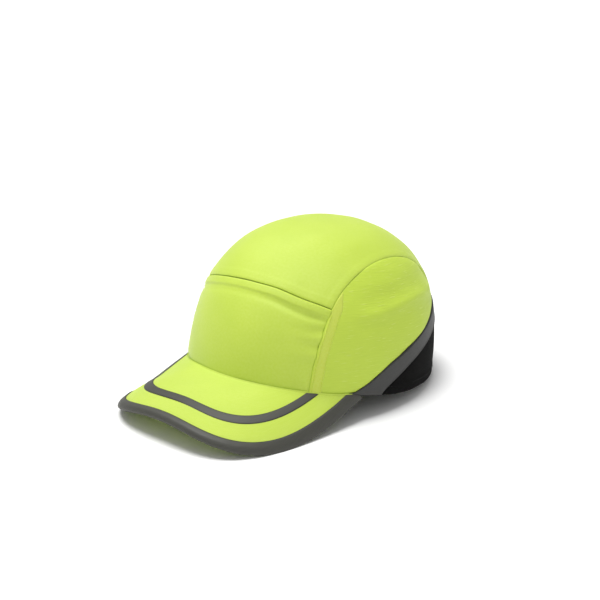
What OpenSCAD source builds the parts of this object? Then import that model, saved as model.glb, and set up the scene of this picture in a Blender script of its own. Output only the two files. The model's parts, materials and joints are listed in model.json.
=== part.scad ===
// Baseball-style bump cap: a sewn fabric cap with a curved brim, a removable
// protective shell with foam pads, and a hook-and-loop strap behind.
// The front points along -Y, the wearer's left is +X, and the cap stands on Z = 0
// on the two low sides of its brim and the back of its rim.

/* [Crown] */
// Length of the crown ahead of its widest section
crown_front = 106.5; // [102:0.5:112]
// Length of the crown behind its widest section
crown_back = 97.5; // [94:0.5:102]
// Half of the crown's width
crown_half_width = 86; // [83:0.5:89]
// Height of the crown above the rim plane
crown_height = 115.5; // [110:0.5:120]
// How far the rim rises over the brim at the front
rim_rise = 11.5; // [8:0.5:14]
// Height of the seam above the front panel, at the middle
front_seam_z = 78.6; // [74:0.2:82]
// Thickness of the outer fabric
fabric = 1.0; // [0.8:0.1:1.2]

/* [Brim] */
// Distance from the widest section to the brim's front edge
brim_reach = 161.7; // [155:0.1:170]
// Half of the brim's width
brim_half_width = 82; // [80:0.5:84]
// Thickness of the brim with its two covers
brim_thickness = 3.4; // [3:0.1:4.2]
// Width of the folded reflective edging
edging_width = 5.5; // [4:0.5:7]
// Distance from the brim's edge to the reflective stripe
stripe_inset = 18.2; // [14:0.2:22]
// Width of the reflective stripe
stripe_width = 6.7; // [5:0.1:9]

/* [Band and rear opening] */
// Height of the reflective band's upper edge at the back
band_top_z = 66; // [62:1:70]
// Height of the reflective band's lower edge at the back
band_low_z = 51; // [48:1:54]
// Height of the rear opening
arch_height = 42; // [38:1:44]
// Half of the rear opening's span, in degrees round the crown
arch_angle = 30; // [27:1:32]

/* [Strap] */
// Height of the strap's webbing
strap_height = 20; // [16:1:20]
// Thickness of the strap's webbing
webbing = 1.4; // [1.2:0.1:1.6]
// Diameter of the wire of the buckle ring
ring_wire = 2.4; // [2.2:0.1:2.6]

/* [Protective insert] */
// Gap between the crown's outer surface and the shell
shell_inset = 4.2; // [4.2:0.1:5]
// Wall of the shell
shell_wall = 2.0; // [1.6:0.1:2.4]
// Thickness of the foam pads
pad_thickness = 5.5; // [4:0.5:7]

/* [Hidden] */
$fn = 64;

// Resting attitude: the brim tips the crown back, and these two place the
// cap with its lowest points on Z = 0 and its outline centred on the origin.
tilt = 7.58;
rest_y = 29.72;
rest_z = 11.3;

// Superellipse powers of the plan outline and of the front, side and back walls
plan_power = 2.06;
front_power = 2.65;
side_power = 2.55;
back_power = 2.48;
// How far the crown's top lies behind the widest section
top_shift = 5.3;

// Colours
lime = [0.80, 0.95, 0.18];
grey = [0.42, 0.42, 0.41];
black = [0.08, 0.08, 0.08];
foam = [0.22, 0.22, 0.24];
white = [0.93, 0.93, 0.92];

// Layers inward from the crown's outer surface
lining_inset = fabric + 0.3;
lining = 0.5;
sweatband_inset = lining_inset + lining + 0.3;
sweatband_thickness = 1.5;
shell_inner = shell_inset + shell_wall;
pad_inset = shell_inner + 0.3;

// Half of the gap left between two panels at a seam
seam_gap = 0.2;
// Angle from the front at which the rim has come down to its lowest
rim_end_angle = 95;
// How far the front seam drops from its middle to its ends
front_seam_drop = 11;
// Angles of the side seam round the crown, at the rim and at its top, and its height
seam_low_angle = 46.8;
seam_top_angle = 53.2;
side_seam_z = 68;
// Angles at which the band's upper and lower edges leave the rim
band_top_start = 64;
band_low_start = 79.5;
// Superellipse power of the rear opening
arch_power = 2.7;
// Angle at which the crown panel's side seam reaches the band
seam_end_angle = seam_end();

// ---------------------------------------------------------------- crown surface

function mix(a, b, t) = a + (b - a) * t;
function smooth(t) = let (c = min(1, max(0, t))) c * c * (3 - 2 * c);
function unwrap(u) = u > 180 ? u - 360 : u;

function plan_radius(u) =
    pow(pow(abs(sin(u)), plan_power) + pow(abs(cos(u)), plan_power), -1 / plan_power);
function wall_power(u) =
    side_power * pow(sin(u), 2) + (cos(u) > 0 ? front_power : back_power) * pow(cos(u), 2);
function crown_length(u) = cos(u) > 0 ? crown_front : crown_back;

// Point on the crown at azimuth u (0 front, 90 the wearer's left) and at height z
// of the outer surface, moved inward by inset.
function crown(u, z, inset = 0) =
    let (h = min(1, max(0, z / crown_height)),
         m = wall_power(u),
         g = pow(max(0, 1 - pow(h, m)), 1 / m) * plan_radius(u))
    [(crown_half_width - inset) * sin(u) * g,
     -(crown_length(u) - inset) * cos(u) * g + top_shift * h,
     h * (crown_height - inset)];

// Below zero inside the crown, above zero outside it.
function outside(p, inset) =
    let (h = min(1, max(0, p[2] / (crown_height - inset))),
         y = p[1] - top_shift * h,
         ry = -y / ((y < 0 ? crown_front : crown_back) - inset),
         rx = p[0] / (crown_half_width - inset),
         u = atan2(rx, ry),
         m = wall_power(u))
    norm([rx, ry]) / plan_radius(u) - pow(1 - pow(h, m), 1 / m);

eye = [0, 0, 20];
function ray_hit(d, inset, low, high, n) =
    let (k = (low + high) / 2, p = eye + k * d)
    n == 0 ? p
    : p[2] > crown_height - inset || outside(p, inset) > 0
        ? ray_hit(d, inset, low, k, n - 1)
        : ray_hit(d, inset, k, high, n - 1);
// The point of the crown on the ray from its middle through p.
function onto_crown(p, inset) = ray_hit(p - eye, inset, 0.3, 2, 18);

// ---------------------------------------------------------------- seam lines

function rim_z(u) =
    let (f = abs(unwrap(u)) / rim_end_angle) f < 1 ? rim_rise * pow(1 - pow(f, 2), 1.3) : 0;
function front_seam(u) = front_seam_z - front_seam_drop * pow(abs(u) / seam_top_angle, 2.6);
function side_seam(z) =
    mix(seam_low_angle, seam_top_angle, pow(max(0, z) / side_seam_z, 2.2));
// Half of the crown panel's width, which narrows towards the back
function top_half_width(y) = 62 - 0.085 * (y + 54);
function crown_seam_z(u, low = 40, high = 110, n = 16) =
    let (z = (low + high) / 2, p = crown(u, z))
    n == 0 ? z
    : p[0] > top_half_width(p[1]) ? crown_seam_z(u, z, high, n - 1)
    : crown_seam_z(u, low, z, n - 1);

function band_edge(u, start, top, power) =
    let (a = abs(unwrap(u)), f = max(0, (a - start) / (180 - start)))
    mix(rim_z(start), top, sin(90 * pow(f, power)));
function band_top(u) = band_edge(u, band_top_start, band_top_z, 0.9);
function seam_end(low = 120, high = 160, n = 14) =
    let (u = (low + high) / 2, p = crown(u, band_top(u)))
    n == 0 ? u
    : p[0] > top_half_width(p[1]) ? seam_end(u, high, n - 1)
    : seam_end(low, u, n - 1);
function band_low(u) = band_edge(u, band_low_start, band_low_z, 0.78);
function arch_z(u, grow = 0) =
    let (f = (180 - abs(unwrap(u))) / (arch_angle + grow / 1.5))
    f >= 1 ? 0 : (arch_height + grow) * pow(1 - pow(f, arch_power), 1 / arch_power);

// ---------------------------------------------------------------- sheet solids

// A solid between two grids of points, outer[row][column] and inner[row][column],
// with rows upward and columns to the right as seen from outside.
// keep(i, j) leaves out a cell, and ring joins the last column to the first.
module sheet(outer, inner, keep = function (i, j) true, ring = false) {
    rows = len(outer);
    cols = len(outer[0]);
    cells = ring ? cols : cols - 1;
    function a(i, j) = i * cols + j % cols;
    function b(i, j) = rows * cols + a(i, j);
    function there(i, j) =
        i >= 0 && i < rows - 1 && (ring || (j >= 0 && j < cells))
        && keep(i, (j + cells) % cells);
    function wall(p, q, s, t) = [[p, q, s], [p, s, t]];
    faces = [
        for (i = [0 : rows - 2], j = [0 : cells - 1]) if (there(i, j))
            each concat(
                [[a(i, j), a(i + 1, j), a(i + 1, j + 1)],
                 [a(i, j), a(i + 1, j + 1), a(i, j + 1)],
                 [b(i, j), b(i + 1, j + 1), b(i + 1, j)],
                 [b(i, j), b(i, j + 1), b(i + 1, j + 1)]],
                there(i - 1, j) ? []
                    : wall(a(i, j), a(i, j + 1), b(i, j + 1), b(i, j)),
                there(i + 1, j) ? []
                    : wall(a(i + 1, j + 1), a(i + 1, j), b(i + 1, j), b(i + 1, j + 1)),
                there(i, j - 1) ? []
                    : wall(a(i + 1, j), a(i, j), b(i, j), b(i + 1, j)),
                there(i, j + 1) ? []
                    : wall(a(i, j + 1), a(i + 1, j + 1), b(i + 1, j + 1), b(i, j + 1)))
    ];
    polyhedron([each [for (r = outer) each r], each [for (r = inner) each r]], faces);
}

// A piece of the crown between two insets. spot(s, t) gives [azimuth, height]
// for s across and t up, each from 0 to 1.
module crown_sheet(spot, cols, rows, inset, thickness) {
    function grid(off) = [
        for (i = [0 : rows]) [
            for (j = [0 : cols])
                let (q = spot(j / cols, i / rows)) crown(q[0], q[1], off)
        ]
    ];
    sheet(grid(inset), grid(inset + thickness));
}

// A piece over the crown's top. spot(s, t) gives a point near the crown, which is
// then set on it, for s to the wearer's left and t backward.
module top_sheet(spot, cols, rows, inset, thickness) {
    function grid(off) = [
        for (i = [0 : rows]) [
            for (j = [0 : cols]) onto_crown(spot(j / cols, i / rows), off)
        ]
    ];
    sheet(grid(inset), grid(inset + thickness));
}

module placed() {
    translate([0, rest_y, rest_z]) rotate([-tilt, 0, 0]) children();
}

// ---------------------------------------------------------------- fabric crown

module front_panel() {
    spot = function (s, t)
        let (w = 2 * s - 1,
             z0 = mix(rim_z(50 * w), front_seam(50 * w), t),
             u = w * (side_seam(z0) - 0.15))
        [u, mix(rim_z(u), front_seam(u) - seam_gap, t)];
    color(lime) crown_sheet(spot, 20, 9, 0, fabric);
}

// Curves round the crown panel, each as points on the crown
function panel_side(t, side) =
    let (u = mix(seam_top_angle, seam_end_angle, t), p = crown(u, crown_seam_z(u) + seam_gap))
    [side * p[0], p[1], p[2]];
function panel_front(s) =
    let (u = mix(-seam_top_angle, seam_top_angle, s)) crown(u, front_seam(u) + seam_gap);
function panel_back(s) =
    let (u = mix(360 - seam_end_angle, seam_end_angle, s)) crown(u, band_top(u) + 2 * seam_gap);

module crown_panel() {
    spot = function (s, t)
        let (along = mix(panel_front(s), panel_back(s), t),
             across = mix(panel_side(t, -1), panel_side(t, 1), s),
             corners = mix(mix(panel_front(0), panel_front(1), s),
                           mix(panel_back(0), panel_back(1), s), t))
        along + across - corners;
    color(lime) top_sheet(spot, 16, 28, 0, fabric);
}

function side_spot(s, t, tip = 0.985) =
    let (f = s * tip,
         start = mix(seam_low_angle, seam_top_angle, t),
         low = function (u) u < band_top_start ? rim_z(u) : band_top(u) + seam_gap,
         top = function (u) crown_seam_z(max(u, seam_top_angle)) - seam_gap,
         u0 = mix(start, seam_end_angle, f),
         z0 = mix(low(u0), top(u0), t),
         u = mix(side_seam(min(z0, side_seam_z)) + 0.15, seam_end_angle, f))
    [u, mix(low(u), top(u), t)];

module side_panel() {
    color(lime)
        crown_sheet(function (s, t) side_spot(s, t), 20, 8, 0, fabric);
}

// A second layer of fabric on the side panel, beside the side seam
module seam_strip() {
    width_angle = 5;
    beside = 0.4;
    thickness = 0.4;
    spot = function (s, t)
        let (across = beside + width_angle * s,
             top = crown_seam_z(seam_top_angle + across) - 0.8,
             z = mix(rim_z(seam_low_angle), top, t))
        [side_seam(min(z, side_seam_z)) + across, z];
    color(lime) crown_sheet(spot, 2, 9, -thickness - 0.1, thickness);
}

module reflective_band() {
    spot = function (s, t)
        let (low = mix(band_low_start, 360 - band_low_start, s),
             top = mix(band_top_start, 360 - band_top_start, s))
        [mix(low, top, t), mix(band_low(low), band_top(top), t)];
    color(grey) crown_sheet(spot, 36, 2, 0, fabric);
}

module rear_panel() {
    // The panel starts outside the arch's binding, and its tip is cut short
    arch = arch_angle + 3;
    edge = band_low_start + 0.8;
    function azimuth(s) =
        s < 0.3 ? mix(edge, 180 - arch, s / 0.3)
        : s > 0.7 ? mix(180 + arch, 360 - edge, (s - 0.7) / 0.3)
        : 180 - arch * cos(180 * (s - 0.3) / 0.4);
    spot = function (s, t)
        let (u = azimuth(s), low = max(rim_z(u), arch_z(u, 3)))
        [u, mix(low, band_low(u) - seam_gap, t)];
    color(black) crown_sheet(spot, 40, 3, 0, fabric);
}

module arch_binding() {
    function spot_at(a, half, height) =
        [180 - half * sign(cos(a)) * pow(abs(cos(a)), 2 / arch_power),
         height * pow(sin(a), 2 / arch_power)];
    spot = function (s, t)
        spot_at(180 * s, arch_angle + 1.8 * t, arch_height + 2.7 * t);
    color(black) crown_sheet(spot, 28, 1, -0.5, fabric + 0.7);
}

module front_stiffener() {
    spot = function (s, t)
        let (u = mix(-42, 42, s)) [u, mix(rim_z(u) + 2, front_seam(u) - 7, t)];
    color(white) crown_sheet(spot, 14, 7, lining_inset, lining);
}

module seam_tape_front() {
    spot = function (s, t)
        let (u = mix(-46, 46, s)) [u, front_seam(u) + mix(-5.5, 5.5, t)];
    color(black) crown_sheet(spot, 16, 2, lining_inset, lining);
}

// The tape inside the side seam and, past the front panel's corner, inside the
// crown panel's side seam.
module seam_tape_side() {
    half = 5;
    steps = 26;
    corner = 0.4;
    last_angle = 138;
    line = function (s)
        s < corner
        ? let (z = mix(rim_z(seam_low_angle) + 1, side_seam_z - 2, s / corner))
          crown(side_seam(z), z)
        : let (u = mix(seam_top_angle + 0.6, last_angle, (s - corner) / (1 - corner)))
          crown(u, crown_seam_z(u));
    function row(side, inset) = [
        for (k = [0 : steps])
            let (s = k / steps, p = line(s), ahead = line(min(1, s + 0.01)),
                 behind = line(max(0, s - 0.01)),
                 along = (ahead - behind) / norm(ahead - behind),
                 out = (p - eye) / norm(p - eye))
            onto_crown(p + side * half * cross(out, along), inset)
    ];
    color(black)
        sheet([row(-1, lining_inset), row(1, lining_inset)],
              [row(-1, lining_inset + lining), row(1, lining_inset + lining)]);
}

module sweatband() {
    span = 180 - arch_angle - 10;
    height = 30;
    spot = function (s, t)
        let (u = mix(-span, span, s)) [u, rim_z(u) + mix(1, height, t)];
    color(black) crown_sheet(spot, 36, 3, sweatband_inset, sweatband_thickness);
}

module care_label() {
    spot = function (s, t) [mix(118, 138, s), mix(6, 27, t)];
    color(white)
        crown_sheet(spot, 3, 2, sweatband_inset + sweatband_thickness + 0.3, 0.4);
}

// ---------------------------------------------------------------- brim

brim_side_y = -44.8;
brim_power = 3.28;
brim_pitch = 0.426;
// The edging and stripe lie closer to the edge at the sides, where the brim droops
side_inset_share = 0.75;
// Thickness of the brim's fabric covers
cover = 0.7;
// How far the core and covers end inside the edging's fold
cover_inset = 1.7;

function rim_share(x) =
    let (s = min(1, abs(x) / crown_half_width)) pow(max(0, 1 - pow(s, plan_power)), 1 / plan_power);
// Height of the brim's top surface, which rises to meet the crown's rim
function brim_z(x, y) =
    let (s = min(1, abs(x) / crown_half_width),
         u = atan2(s, rim_share(x)))
    rim_z(u) + (brim_pitch + 0.02 * s * s) * (y + crown_front * rim_share(x));

// The brim's outline drawn in by inset, at angle a from -90 to 90 across the front
function brim_outline(a, inset = 0) =
    [(brim_half_width - inset * side_inset_share) * sign(sin(a)) * pow(abs(sin(a)), 2 / brim_power),
     brim_side_y - (brim_reach - inset + brim_side_y) * pow(cos(a), 2 / brim_power)];
function rim_outline(u, out = 0.4) =
    let (p = crown(u, rim_z(u), -out)) [p[0], p[1]];
// The largest outline angle that stays clear of the crown
function brim_limit(inset, low = 60, high = 90, n = 14) =
    let (a = (low + high) / 2, p = brim_outline(a, inset),
         rim_y = -(crown_front + 0.4) * rim_share(p[0] / (1 + 0.4 / crown_half_width)))
    n == 0 ? a
    : p[1] > rim_y - 0.2 ? brim_limit(inset, low, a, n - 1)
    : brim_limit(inset, a, high, n - 1);

function brim_point(q, drop) = [q[0], q[1], brim_z(q[0], q[1]) - drop];

// A layer of the brim between two depths below its top surface. It ends at the
// crown's rim, which it follows up to rim_limit degrees each side of the front.
module brim_layer(top, bottom, inset) {
    limit = brim_limit(inset);
    rim_limit = 63.5;
    cols = 32;
    rows = 7;
    function spot(s, t) =
        let (w = 2 * s - 1)
        mix(brim_outline(w * limit, inset), rim_outline(w * rim_limit), pow(t, 1.6));
    function grid(drop) = [
        for (i = [0 : rows]) [
            for (j = [0 : cols]) brim_point(spot(j / cols, i / rows), drop)
        ]
    ];
    sheet(grid(top), grid(bottom));
}

module brim_core() {
    depth = cover + 0.1;
    color(white) brim_layer(depth, brim_thickness - depth, cover_inset);
}
module brim_top_cover() {
    color(lime) brim_layer(0, cover, cover_inset);
}
module brim_bottom_cover() {
    color(lime) brim_layer(brim_thickness - cover, brim_thickness, cover_inset);
}

// The folded tape's section as rows of [distance in from the edge, height]
module brim_edge_binding() {
    low = -brim_thickness;
    middle = (edging_width + 1) / 2;
    outer = [[edging_width, 0.6], [middle, 0.6], [0.8, 0.6], [0, -0.4],
             [0, low + 0.4], [0.8, low - 0.6], [middle, low - 0.6], [edging_width, low - 0.6]];
    inner = [[edging_width, 0.2], [middle, 0.2], [1.1, 0.2], [0.9, -0.1],
             [0.9, low + 0.1], [1.1, low - 0.2], [middle, low - 0.2], [edging_width, low - 0.2]];
    function grid(section) = [
        for (q = section)
            let (limit = brim_limit(q[0]))
            [for (k = [0 : 40]) brim_point(brim_outline(limit * (k / 20 - 1), q[0]), -q[1])]
    ];
    color(grey) sheet(grid(inner), grid(outer));
}

module brim_stripe() {
    function edge(inset, height) =
        let (limit = brim_limit(inset))
        [for (j = [0 : 32]) brim_point(brim_outline(limit * (j / 16 - 1), inset), -height)];
    far = stripe_inset + stripe_width;
    color(grey)
        sheet([edge(stripe_inset, 0.5), edge(far, 0.5)],
              [edge(stripe_inset, 0.1), edge(far, 0.1)]);
}

// ---------------------------------------------------------------- rear strap

// The strap lies on circles round a vertical axis behind the crown's middle.
strap_axis_y = 16;
strap_radius = 78.8;
strap_low_z = 5;
bar_radius = strap_radius + webbing + 0.2 + ring_wire / 2;
bar_angle = -17.5;
keeper_angle = -26;
// Angles at which the strap's base and its loop patch end on the wearer's left
base_end_angle = 39;
loop_end_angle = 27.5;
tail_end_angle = 11;
// The patches and the keeper are this much narrower than the webbing, each side
patch_margin = 1;
loop_bore = ring_wire / 2 + 0.2;
tail_radius = bar_radius + loop_bore;
ring_height = strap_height + 1 + ring_wire;

// A band of webbing from angle a to angle b, measured from the back to the left
module strap_arc(radius, thickness, a, b, low, height) {
    translate([0, strap_axis_y, low]) rotate(90 - b)
        rotate_extrude(angle = b - a, $fn = 180)
            translate([radius, 0]) square([thickness, height]);
}

// Moves children to the wire at an angle, with +X pointing along the strap to
// the wearer's left and +Y away from the crown
module at_bar(a) {
    translate([bar_radius * sin(a), strap_axis_y + bar_radius * cos(a), 0])
        rotate(-a) children();
}

module strap_base() {
    color(black)
        strap_arc(strap_radius, webbing, bar_angle + 2.6, base_end_angle, strap_low_z,
                  strap_height);
}

module loop_patch() {
    color(foam)
        strap_arc(strap_radius + webbing + 0.05, 1.1, bar_angle + 4, loop_end_angle,
                  strap_low_z + patch_margin, strap_height - 2 * patch_margin);
}

// The webbing loop that holds the ring
module buckle_keeper() {
    height = strap_height - 2 * patch_margin;
    low = strap_low_z + patch_margin;
    color(black) difference() {
        union() {
            strap_arc(strap_radius, webbing, -base_end_angle, keeper_angle, low, height);
            at_bar(keeper_angle) translate([0, 0, low])
                cylinder(r = loop_bore + webbing, h = height);
        }
        at_bar(keeper_angle) translate([0, 0, low - 1])
            cylinder(r = loop_bore, h = height + 2);
    }
}

module buckle_ring() {
    low = strap_low_z + strap_height / 2 - ring_height / 2;
    r = ring_wire / 2;
    start = [bar_radius * sin(keeper_angle), strap_axis_y + bar_radius * cos(keeper_angle)];
    finish = [bar_radius * sin(bar_angle), strap_axis_y + bar_radius * cos(bar_angle)];
    length = norm(finish - start);
    heading = atan2(finish[1] - start[1], finish[0] - start[0]);
    color(black) translate([start[0], start[1], low]) rotate(heading) {
        for (x = [0, length]) translate([x, 0, 0]) {
            cylinder(r = r, h = ring_height);
            for (z = [0, ring_height]) translate([0, 0, z]) sphere(r = r);
        }
        for (z = [0, ring_height]) translate([0, 0, z])
            rotate([0, 90, 0]) cylinder(r = r, h = length);
    }
}

// The start of the strap's free end, folded round the ring's bar
module strap_fold() {
    start = 88;
    turn = 150;
    color(black) at_bar(bar_angle) translate([0, 0, strap_low_z]) rotate(start)
        rotate_extrude(angle = turn)
            translate([loop_bore, 0]) square([webbing, strap_height]);
}

module strap_tail() {
    color(black)
        strap_arc(tail_radius, webbing, bar_angle + 0.3, tail_end_angle, strap_low_z,
                  strap_height);
}

module hook_patch() {
    thickness = 1.3;
    color(foam)
        strap_arc(tail_radius - thickness - 0.05, thickness, bar_angle + 6, tail_end_angle - 2,
                  strap_low_z + patch_margin, strap_height - 2 * patch_margin);
}

// ---------------------------------------------------------------- protective insert

// Height of the shell's lower edge, which rises behind the forehead and dips again
// a little at the back
shell_front_z = 36;
shell_side_rise = 17;
shell_back_dip = 3;
function shell_low_z(u) =
    let (a = abs(unwrap(u)))
    shell_front_z + shell_side_rise * smooth((a - 38) / 38)
    - shell_back_dip * smooth((a - 115) / 45);

// The shell's wall runs up to a small vent in its top. Vents are left out of its
// cells: one in each five columns low down, and one in each ten near the top.
module bump_shell() {
    cols = 60;
    rows = 11;
    top_angle = 88.6;
    function low_angle(u) = asin(pow(shell_low_z(u) / crown_height, wall_power(u) / 2));
    function point(i, j, inset) =
        let (u = 360 * j / cols,
             a = mix(low_angle(u), top_angle, i / rows))
        crown(u, crown_height * pow(sin(a), 2 / wall_power(u)), inset);
    function grid(inset) =
        [for (i = [0 : rows]) [for (j = [0 : cols - 1]) point(i, j, inset)]];
    vent = function (i, j)
        (j % 5 == 4 && i >= 3 && i <= 5) || (j % 10 == 6 && i >= 7 && i <= 8);
    color(black)
        sheet(grid(shell_inset), grid(shell_inner), function (i, j) !vent(i, j), true);
}

module pad_round(from, to, low, high, cols = 8) {
    spot = function (s, t) [mix(from, to, s), mix(low, high, t)];
    color(foam) crown_sheet(spot, cols, 4, pad_inset, pad_thickness);
}

module pad_crown() {
    spot = function (s, t) [mix(-26, 26, s), mix(-34, 44, t), crown_height];
    color(foam) top_sheet(spot, 8, 10, pad_inset, pad_thickness);
}

module mirrored() {
    mirror([1, 0, 0]) children();
}

placed() front_panel();
placed() crown_panel();
placed() side_panel();  // side_panel_left
placed() mirrored() side_panel();  // side_panel_right
placed() seam_strip();  // seam_strip_left
placed() mirrored() seam_strip();  // seam_strip_right
placed() reflective_band();
placed() rear_panel();
placed() arch_binding();
placed() front_stiffener();
placed() seam_tape_front();
placed() seam_tape_side();  // seam_tape_left
placed() mirrored() seam_tape_side();  // seam_tape_right
placed() sweatband();
placed() care_label();
placed() brim_core();
placed() brim_top_cover();
placed() brim_bottom_cover();
placed() brim_edge_binding();
placed() brim_stripe();
placed() strap_base();
placed() loop_patch();
placed() buckle_keeper();
placed() buckle_ring();
placed() strap_fold();
placed() strap_tail();
placed() hook_patch();
placed() bump_shell();
placed() pad_round(-30, 30, 46, 70);  // pad_front
placed() pad_round(62, 118, 60, 82);  // pad_left
placed() mirrored() pad_round(62, 118, 60, 82);  // pad_right
placed() pad_round(152, 208, 56, 80);  // pad_rear
placed() pad_crown();
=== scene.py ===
"""Looks of the bump cap: sewn cloth panels, reflective tapes, brim, strap and protective insert.

Lengths are in millimetres in the cap's own frame, where Z = 0 is the rim plane, the front points
along -Y and the wearer's left is +X. place() turns them into the row frame in metres.
"""
import json
import math

import bpy
import numpy as np
from mathutils import Matrix, Vector


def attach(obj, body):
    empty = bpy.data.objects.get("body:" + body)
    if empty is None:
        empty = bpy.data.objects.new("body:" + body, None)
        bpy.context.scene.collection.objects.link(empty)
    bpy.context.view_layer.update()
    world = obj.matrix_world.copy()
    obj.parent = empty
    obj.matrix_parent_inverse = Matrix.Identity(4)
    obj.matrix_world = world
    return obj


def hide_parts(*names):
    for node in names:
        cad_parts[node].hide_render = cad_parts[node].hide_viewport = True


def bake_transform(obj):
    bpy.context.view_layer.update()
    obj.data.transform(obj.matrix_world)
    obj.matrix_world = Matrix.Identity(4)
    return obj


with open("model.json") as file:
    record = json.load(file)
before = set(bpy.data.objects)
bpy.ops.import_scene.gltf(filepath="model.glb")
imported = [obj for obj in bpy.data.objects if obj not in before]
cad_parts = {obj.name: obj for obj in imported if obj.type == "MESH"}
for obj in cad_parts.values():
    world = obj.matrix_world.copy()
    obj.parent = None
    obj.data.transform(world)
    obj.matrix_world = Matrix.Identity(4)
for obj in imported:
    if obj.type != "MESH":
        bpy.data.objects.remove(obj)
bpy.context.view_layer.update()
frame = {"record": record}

PI = math.pi
MM = 0.001

# The rest attitude comes from the head mount: its place is the middle of the rim plane.
head = frame["record"]["mounts"][0]
UP = -np.array(head["axis"])
BACK = np.array([0, UP[2], -UP[1]])
SIDE = np.array([1.0, 0, 0])
ORIGIN = np.array(head["pos_m"])

# ------------------------------------------------------------------ sizes
# As in the CAD, apart from the band's lower border, which starts further back as photographed.

CROWN_FRONT, CROWN_BACK, HALF_WIDTH, CROWN_HEIGHT = 106.5, 97.5, 86.0, 115.5
PLAN_POWER, FRONT_POWER, SIDE_POWER, BACK_POWER = 2.06, 2.65, 2.55, 2.48
TOP_SHIFT = 5.3
RIM_RISE = 11.5
FRONT_SEAM_Z = 78.6
SEAM_LOW, SEAM_TOP = 46.8, 53.2
BAND_TOP_Z, BAND_LOW_Z = 66.0, 51.0
BAND_TOP_START, BAND_LOW_START = 64.0, 81.2
ARCH_HEIGHT, ARCH_ANGLE, ARCH_POWER = 42.0, 30.0, 2.7
BRIM_REACH, BRIM_HALF_WIDTH, BRIM_THICK = 161.7, 82.0, 3.4
BRIM_SIDE_Y, BRIM_POWER, BRIM_PITCH, SIDE_INSET_SHARE = -44.8, 3.28, 0.426, 0.75
EDGING, STRIPE_INSET, STRIPE_WIDTH = 5.5, 18.2, 6.7
STRAP_Y, STRAP_RADIUS, STRAP_LOW, STRAP_HEIGHT, WEBBING = 16.0, 78.8, 5.0, 20.0, 1.4
RING_WIRE, BAR_ANGLE, KEEPER_ANGLE = 2.4, -17.5, -26.0
BAR_RADIUS = STRAP_RADIUS + WEBBING + 0.2 + RING_WIRE / 2
LOOP_BORE = RING_WIRE / 2 + 0.2
TAIL_END = 11.0
SHELL_INSET, SHELL_WALL, PAD_THICK = 4.2, 2.0, 5.5
FABRIC = 1.0

# How far the panels reach down inside the brim, and the azimuth where the brim's covers end.
FOOT, BRIM_SPAN = 4.0, 66.0
# How far in from the crown's surface the lining lies, and how far it reaches to each side of the front.
LINING_INSET, SIDE_TAPE_INSET = 1.3, 2.1
STIFFENER_SPAN, FRONT_TAPE_SPAN = 42.0, 51.0
# Thicknesses, and the angle at which the strap is sewn to the cap.
LINING_TAPE, EDGING_WALL, STRIPE_TAPE, COVER = 0.5, 0.45, 0.35, 0.65
STRAP_ANCHOR = 39.0


def place(p):
    p = np.asarray(p, float)
    return ORIGIN + MM * (p[..., 0:1] * SIDE + p[..., 1:2] * BACK + p[..., 2:3] * UP)


# ------------------------------------------------------------------ the crown's surface

def mix(a, b, t):
    return a + (b - a) * t


def smooth(t):
    t = np.clip(t, 0, 1)
    return t * t * (3 - 2 * t)


def bump(d, start, end, soft):
    """1 between two distances, 0 outside them, with soft shoulders."""
    return smooth((d - start) / soft + 0.5) * smooth((end - d) / soft + 0.5)


def hill(d, middle, width):
    """A smooth rise to 1 at middle."""
    return np.exp(-((d - middle) / width) ** 2)


def wrap(u):
    return (np.asarray(u, float) + 180) % 360 - 180


def wall_power(u):
    u = np.radians(u)
    return SIDE_POWER * np.sin(u) ** 2 + np.where(np.cos(u) > 0, FRONT_POWER, BACK_POWER) * np.cos(u) ** 2


def plan_radius(u):
    u = np.radians(u)
    return (np.abs(np.sin(u)) ** PLAN_POWER + np.abs(np.cos(u)) ** PLAN_POWER) ** (-1 / PLAN_POWER)


def crown(u, z, inset=0.0):
    """Points on the crown at azimuth u (0 front, 90 the wearer's left) and outer height z."""
    u, z = np.broadcast_arrays(np.asarray(u, float), np.asarray(z, float))
    m, h, a = wall_power(u), np.clip(z / CROWN_HEIGHT, 0, 1), np.radians(u)
    g = np.maximum(0, 1 - h ** m) ** (1 / m) * plan_radius(u)
    length = np.where(np.cos(a) > 0, CROWN_FRONT, CROWN_BACK)
    return np.stack([(HALF_WIDTH - inset) * np.sin(a) * g,
                     -(length - inset) * np.cos(a) * g + TOP_SHIFT * h,
                     h * (CROWN_HEIGHT - inset)], -1)


EYE = np.array([0, 0, 20.0])


def outside(p, inset):
    h = np.clip(p[..., 2] / (CROWN_HEIGHT - inset), 0, 1)
    y = p[..., 1] - TOP_SHIFT * h
    ry = -y / (np.where(y < 0, CROWN_FRONT, CROWN_BACK) - inset)
    rx = p[..., 0] / (HALF_WIDTH - inset)
    u = np.degrees(np.arctan2(rx, ry))
    m = wall_power(u)
    return (p[..., 2] > CROWN_HEIGHT - inset) | (
        np.hypot(rx, ry) / plan_radius(u) > np.maximum(0, 1 - h ** m) ** (1 / m))


def onto_crown(p, inset=0.0):
    """The crown's points on the rays from its middle through p."""
    d = p - EYE
    low, high = np.full(p.shape[:-1], 0.3), np.full(p.shape[:-1], 2.0)
    for _ in range(26):
        k = (low + high) / 2
        out = outside(EYE + k[..., None] * d, inset)
        low, high = np.where(out, low, k), np.where(out, k, high)
    return EYE + ((low + high) / 2)[..., None] * d


# ------------------------------------------------------------------ the crown's seam lines

def rim_z(u):
    a = np.abs(wrap(u))
    return np.where(a < 95, RIM_RISE * np.maximum(0, 1 - (a / 95) ** 2) ** 1.3, 0)


def front_seam(u):
    return FRONT_SEAM_Z - 11 * (np.abs(u) / SEAM_TOP) ** 2.6


def side_seam(z):
    return mix(SEAM_LOW, SEAM_TOP, (np.maximum(0, z) / 68) ** 2.2)


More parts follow.
